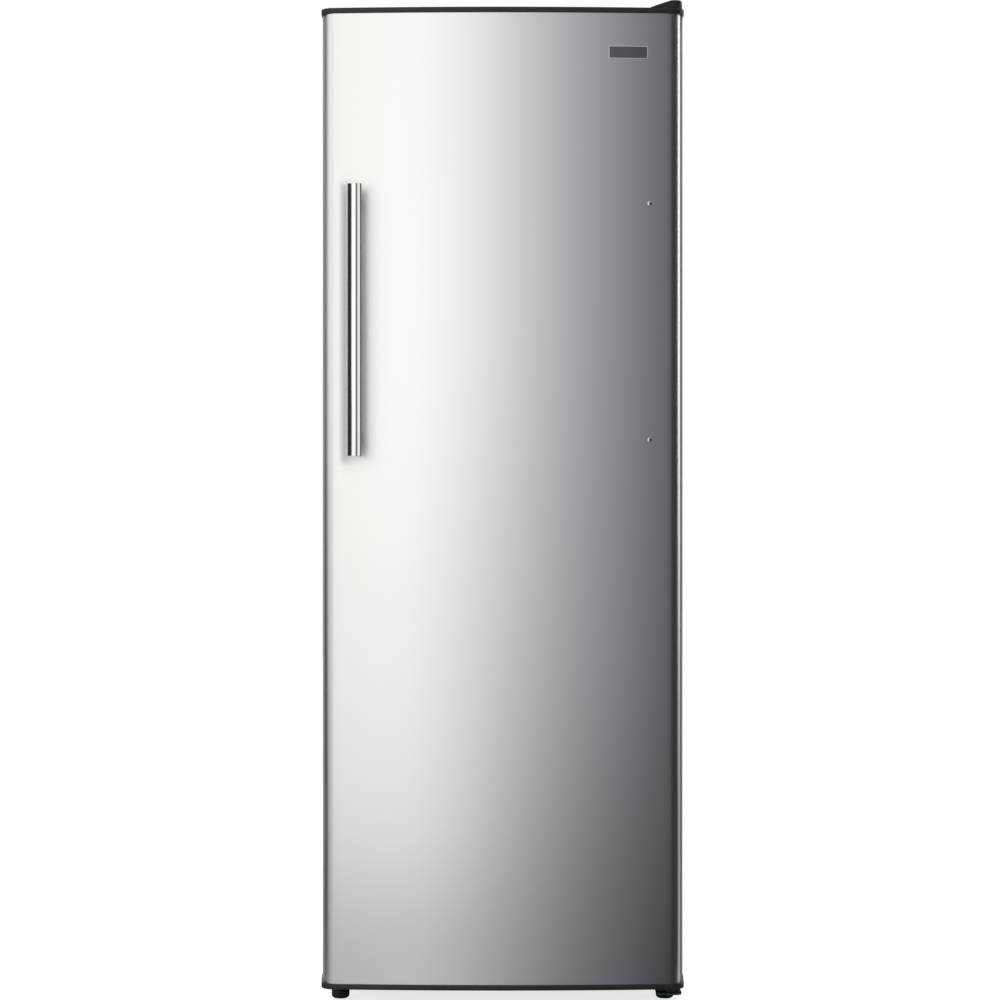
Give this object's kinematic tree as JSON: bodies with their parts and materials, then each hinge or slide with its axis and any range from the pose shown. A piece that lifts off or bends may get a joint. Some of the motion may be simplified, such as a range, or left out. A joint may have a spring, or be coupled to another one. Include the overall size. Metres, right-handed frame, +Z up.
{
  "type": "upright freezer",
  "caption": "Tall upright freezer with one bowed stainless door hinged on the right, a round bar handle, wire shelves, door bins and a frost-free cooling unit.",
  "frame": {"origin": "on the floor, under the middle of the overall width and depth", "axes": "+Z up, -Y towards the person opening the door, +X towards the hinges"},
  "size_m": [0.6, 0.6965, 1.66],
  "materials": {
    "stainless_sheet": "satin",
    "polished_bar": "polished",
    "cabinet_paint": "satin",
    "zinc_sheet": "matte",
    "zinc_fastener": "satin",
    "black_plastic": "satin",
    "black_bracket": "satin",
    "liner_plastic": "satin",
    "bin_plastic": "gloss",
    "white_wire": "gloss",
    "foam": "matte",
    "copper": "satin",
    "black_enamel": "gloss",
    "rubber": "matte",
    "seal_vinyl": "matte",
    "evaporator_metal": "satin",
    "heater_sheath": "satin",
    "grey_plastic": "satin",
    "circuit_board": "satin",
    "lens_plastic": "gloss",
    "nylon": "satin",
    "badge_metal": "polished"
  },
  "bodies": {
    "cabinet": {"cabinet_shell": "cabinet_paint", "back_panel": "cabinet_paint", "base_pan": "zinc_sheet", "compressor_deck": "zinc_sheet", "cabinet_liner": "liner_plastic", "cabinet_foam": "foam", "condenser_coil": "copper", "compressor": "black_enamel", "compressor_grommets": "rubber", "compressor_bolts": "zinc_fastener", "relay_box": "black_plastic", "filter_drier": "copper", "refrigerant_lines": "copper", "drip_tray": "grey_plastic", "drain_tube": "grey_plastic", "evaporator": "evaporator_metal", "defrost_heater": "heater_sheath", "drain_trough": "evaporator_metal", "duct_cover": "liner_plastic", "fan_motor": "black_plastic", "control_housing": "liner_plastic", "control_board": "circuit_board", "lamp_lens": "lens_plastic", "shelf_1": "white_wire", "shelf_2": "white_wire", "shelf_3": "white_wire", "shelf_4": "white_wire", "shelf_5": "white_wire", "rear_cover": "zinc_sheet", "rear_cover_screws": "zinc_fastener", "wall_spacers": "black_plastic", "cord_gland": "black_plastic", "top_hinge_bracket": "zinc_sheet", "top_hinge_cover": "black_plastic", "bottom_hinge_bracket": "black_bracket", "hinge_pins": "zinc_fastener", "hinge_screws": "zinc_fastener", "roller_brackets": "zinc_sheet", "roller_axles": "zinc_fastener"},
    "door": {"door_skin": "stainless_sheet", "door_top_cap": "black_plastic", "door_bottom_cap": "black_plastic", "door_foam": "foam", "door_liner": "liner_plastic", "door_seal": "seal_vinyl", "hinge_bushes": "nylon", "handle_bar": "polished_bar", "handle_posts": "polished_bar", "hole_plugs": "polished_bar", "badge_plate": "badge_metal", "door_bin_1": "bin_plastic", "door_bin_2": "bin_plastic", "door_bins_upper": "bin_plastic"},
    "fan": {"fan_blade": "grey_plastic"},
    "knob": {"thermostat_knob": "grey_plastic"},
    "rocker": {"mode_rocker": "black_plastic"},
    "left_foot": {"left_foot": "black_plastic"},
    "right_foot": {"right_foot": "black_plastic"},
    "left_roller": {"left_roller": "black_plastic"},
    "right_roller": {"right_roller": "black_plastic"}
  },
  "joints": [
    {"name": "door_swing", "type": "hinge", "parent": "cabinet", "child": "door", "pos_m": [0.276, -0.27125, 0.84], "axis": [0, 0, 1], "range_deg": [0, 135]},
    {"name": "fan_spin", "type": "hinge", "parent": "cabinet", "child": "fan", "pos_m": [0, 0.22525, 1.456], "axis": [0, 1, 0], "continuous": true},
    {"name": "thermostat_turn", "type": "hinge", "parent": "cabinet", "child": "knob", "pos_m": [-0.055, -0.12175, 1.564], "axis": [0, 1, 0], "range_deg": [0, 300]},
    {"name": "mode_rock", "type": "hinge", "parent": "cabinet", "child": "rocker", "pos_m": [0.045, -0.11975, 1.564], "axis": [1, 0, 0], "range_deg": [-20, 0]},
    {"name": "left_foot_screw", "type": "slide", "parent": "cabinet", "child": "left_foot", "axis": [0, 0, 1], "range_m": [-0.015, 0]},
    {"name": "right_foot_screw", "type": "slide", "parent": "cabinet", "child": "right_foot", "axis": [0, 0, 1], "range_m": [-0.015, 0]},
    {"name": "left_roller_spin", "type": "hinge", "parent": "cabinet", "child": "left_roller", "pos_m": [-0.23, 0.29325, 0.012], "axis": [1, 0, 0], "continuous": true},
    {"name": "right_roller_spin", "type": "hinge", "parent": "cabinet", "child": "right_roller", "pos_m": [0.23, 0.29325, 0.012], "axis": [1, 0, 0], "continuous": true}
  ]
}
